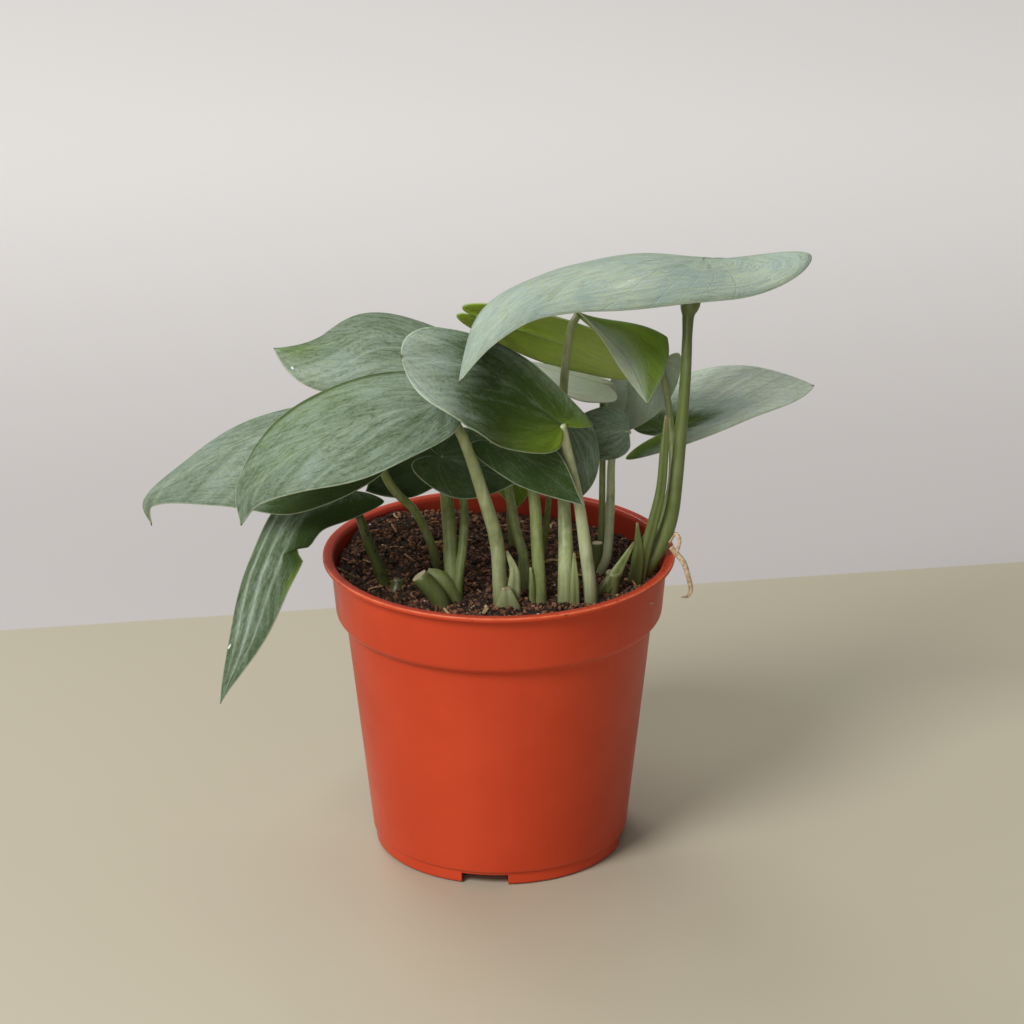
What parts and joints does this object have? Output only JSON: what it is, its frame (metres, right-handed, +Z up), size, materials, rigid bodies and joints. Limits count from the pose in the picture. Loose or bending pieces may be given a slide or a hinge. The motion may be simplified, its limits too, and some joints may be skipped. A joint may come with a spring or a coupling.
{
  "type": "potted silver-leaved scindapsus plant",
  "caption": "Climbing house plant with thick heart-shaped silvery leaves on long stalks, several rooted cuttings together in a round tapered plastic nursery pot of growing mix.",
  "frame": {"origin": "centre of the pot's flat standing pad, on the ground, on the pot's axis", "axes": "+Z up, -Y towards the front of the picture, +X to its right"},
  "size_m": [0.2266, 0.1256, 0.2103],
  "materials": {
    "pot": "satin terracotta-coloured polypropylene, lighter and worn along the lip's top edge",
    "growing_mix": "dark brown coarse coir and peat with lighter fibres and a few white specks",
    "leaf_silver": "silvery grey-green top with fine streaks and a satin sheen, plain green underside, thin pale margin",
    "leaf_dark": "dark green top with silvery mottling and a satin sheen, plain green underside",
    "leaf_fresh": "bright yellow-green underside and young blade, soft satin",
    "stalk": "light olive-green grooved stalks with papery pale sheaths, brownish at the foot",
    "root": "pale tan, slightly corky"
  },
  "bodies": {
    "root": {"pot": "pot", "soil": "growing_mix", "leaf_backlit": "leaf_fresh", "leaf_big_left": "leaf_silver", "leaf_channelled": "leaf_fresh", "leaf_cupped_front": "leaf_dark", "leaf_dark_back_left": "leaf_dark", "leaf_far_left": "leaf_silver", "leaf_grey_middle": "leaf_dark", "leaf_hanging_left": "leaf_silver", "leaf_narrow_back": "leaf_silver", "leaf_pale_back": "leaf_silver", "leaf_pointed_front": "leaf_dark", "leaf_right": "leaf_silver", "leaf_round_middle": "leaf_dark", "leaf_round_right": "leaf_dark", "leaf_silver_back": "leaf_silver", "leaf_top": "leaf_silver", "leaf_upper_left": "leaf_silver", "leaf_young_back": "leaf_fresh", "shoot_backlit": "stalk", "shoot_big_left": "stalk", "shoot_channelled": "stalk", "shoot_cupped_front": "stalk", "shoot_dark_back_left": "stalk", "shoot_far_left": "stalk", "shoot_grey_middle": "stalk", "shoot_hanging_left": "stalk", "shoot_narrow_back": "stalk", "shoot_pale_back": "stalk", "shoot_pointed_front": "stalk", "shoot_right": "stalk", "shoot_round_right": "stalk", "shoot_silver_back": "stalk", "shoot_top": "stalk", "shoot_upper_left": "stalk", "shoot_young_back": "stalk", "stub_back_right": "stalk", "stub_front_left": "stalk", "stub_front_right": "stalk", "aerial_root": "root"}
  },
  "joints": []
}
